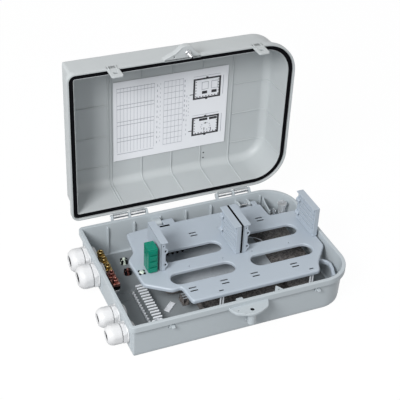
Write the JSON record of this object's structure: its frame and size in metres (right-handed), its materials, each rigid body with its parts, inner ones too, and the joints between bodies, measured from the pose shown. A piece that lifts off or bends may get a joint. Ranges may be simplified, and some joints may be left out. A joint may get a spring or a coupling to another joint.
{
  "type": "fibre termination box",
  "caption": "Shallow wall box for optical fibre with a hinged gasketed lid, cable glands, a swing-up module plate, splitter brackets and green adapters.",
  "frame": {"origin": "centre of the rectangle of the base's flat back, on the plane that goes against the wall", "axes": "+Z out of the wall towards the lid, +Y towards the lid hinge, +X along the long side away from the cable glands"},
  "size_m": [0.391, 0.3533, 0.3421],
  "materials": {
    "grey_abs": "fine satin moulded ABS, light cool grey",
    "white_nylon": "satin white nylon",
    "rubber_black": "matt black rubber",
    "label_paper": null,
    "steel": "zinc-plated steel",
    "brass_metal": "bright brass",
    "copper_metal": "copper-coloured plated brass",
    "clear_plastic": "translucent natural plastic",
    "dark_plastic": "dark grey moulded plastic",
    "green_plastic": "green gloss plastic"
  },
  "bodies": {
    "base": {"base_tray": "grey_abs", "lid_hinge_pin_left": "steel", "lid_hinge_pin_right": "steel", "gland_body_1": "white_nylon", "gland_seal_1": "rubber_black", "gland_locknut_1": "white_nylon", "gland_body_2": "white_nylon", "gland_seal_2": "rubber_black", "gland_locknut_2": "white_nylon", "gland_body_3": "white_nylon", "gland_seal_3": "rubber_black", "gland_locknut_3": "white_nylon", "gland_body_4": "white_nylon", "gland_seal_4": "rubber_black", "gland_locknut_4": "white_nylon", "clamp_bar": "steel", "clamp_stud_1": "copper_metal", "clamp_stud_2": "copper_metal", "clamp_stud_3": "brass_metal", "clamp_stud_4": "brass_metal", "clamp_stud_5": "brass_metal", "earth_stud_1": "brass_metal", "earth_stud_2": "copper_metal", "cable_comb": "clear_plastic", "comb_screw_1": "steel", "comb_screw_2": "steel", "plate_hinge_pin_left": "steel", "plate_hinge_pin_right": "steel", "plate_latch_left": "clear_plastic", "plate_latch_right": "clear_plastic", "splice_tray": "dark_plastic", "splice_holder": "rubber_black", "splice_cover": "clear_plastic", "fibre_ring": "clear_plastic", "fibre_drum": "clear_plastic", "fibre_clip": "clear_plastic", "corner_guide": "grey_abs", "partition": "grey_abs"},
    "lid": {"lid_shell": "grey_abs", "lid_gasket": "rubber_black", "lid_label": "label_paper"},
    "lock_screw": {"lock_screw": "steel"},
    "swing_plate": {"swing_plate": "grey_abs", "wing_screw": "steel", "module_bracket_1": "grey_abs", "module_bracket_2": "grey_abs", "module_bracket_3": "grey_abs", "module_bracket_4": "grey_abs", "adapter_1": "green_plastic", "adapter_2": "green_plastic", "adapter_3": "green_plastic", "adapter_4": "green_plastic"},
    "gland_nut_1": {"gland_nut_1": "white_nylon"},
    "gland_nut_2": {"gland_nut_2": "white_nylon"},
    "gland_nut_3": {"gland_nut_3": "white_nylon"},
    "gland_nut_4": {"gland_nut_4": "white_nylon"},
    "adapter_cap_1": {"adapter_cap_1": "green_plastic"},
    "adapter_cap_2": {"adapter_cap_2": "green_plastic"},
    "adapter_cap_3": {"adapter_cap_3": "green_plastic"},
    "adapter_cap_4": {"adapter_cap_4": "green_plastic"}
  },
  "joints": [
    {"name": "lid_hinge", "type": "hinge", "parent": "base", "child": "lid", "pos_m": [0, 0.136, 0.0575], "axis": [-1, 0, 0], "range_deg": [-89.4, 0]},
    {"name": "swing_plate_hinge", "type": "hinge", "parent": "base", "child": "swing_plate", "pos_m": [0, 0.107, 0.05], "axis": [-1, 0, 0], "range_deg": [0, 75]},
    {"name": "lock_screw_turn", "type": "hinge", "parent": "lid", "child": "lock_screw", "pos_m": [0, 0.13314, 0.33098], "axis": [0, 0.9999, 0.0105], "range_deg": [-90, 90]},
    {"name": "gland_nut_1_turn", "type": "hinge", "parent": "base", "child": "gland_nut_1", "pos_m": [-0.19, 0.086, 0.028], "axis": [-1, 0, 0], "continuous": true},
    {"name": "gland_nut_2_turn", "type": "hinge", "parent": "base", "child": "gland_nut_2", "pos_m": [-0.19, 0.0435, 0.028], "axis": [-1, 0, 0], "continuous": true},
    {"name": "gland_nut_3_turn", "type": "hinge", "parent": "base", "child": "gland_nut_3", "pos_m": [-0.19, -0.054, 0.028], "axis": [-1, 0, 0], "continuous": true},
    {"name": "gland_nut_4_turn", "type": "hinge", "parent": "base", "child": "gland_nut_4", "pos_m": [-0.19, -0.093, 0.028], "axis": [-1, 0, 0], "continuous": true},
    {"name": "adapter_cap_1_pull", "type": "slide", "parent": "swing_plate", "child": "adapter_cap_1", "axis": [0, -1, 0], "range_m": [0, 0.012]},
    {"name": "adapter_cap_2_pull", "type": "slide", "parent": "swing_plate", "child": "adapter_cap_2", "axis": [0, -1, 0], "range_m": [0, 0.012]},
    {"name": "adapter_cap_3_pull", "type": "slide", "parent": "swing_plate", "child": "adapter_cap_3", "axis": [0, -1, 0], "range_m": [0, 0.012]},
    {"name": "adapter_cap_4_pull", "type": "slide", "parent": "swing_plate", "child": "adapter_cap_4", "axis": [0, -1, 0], "range_m": [0, 0.012]}
  ]
}
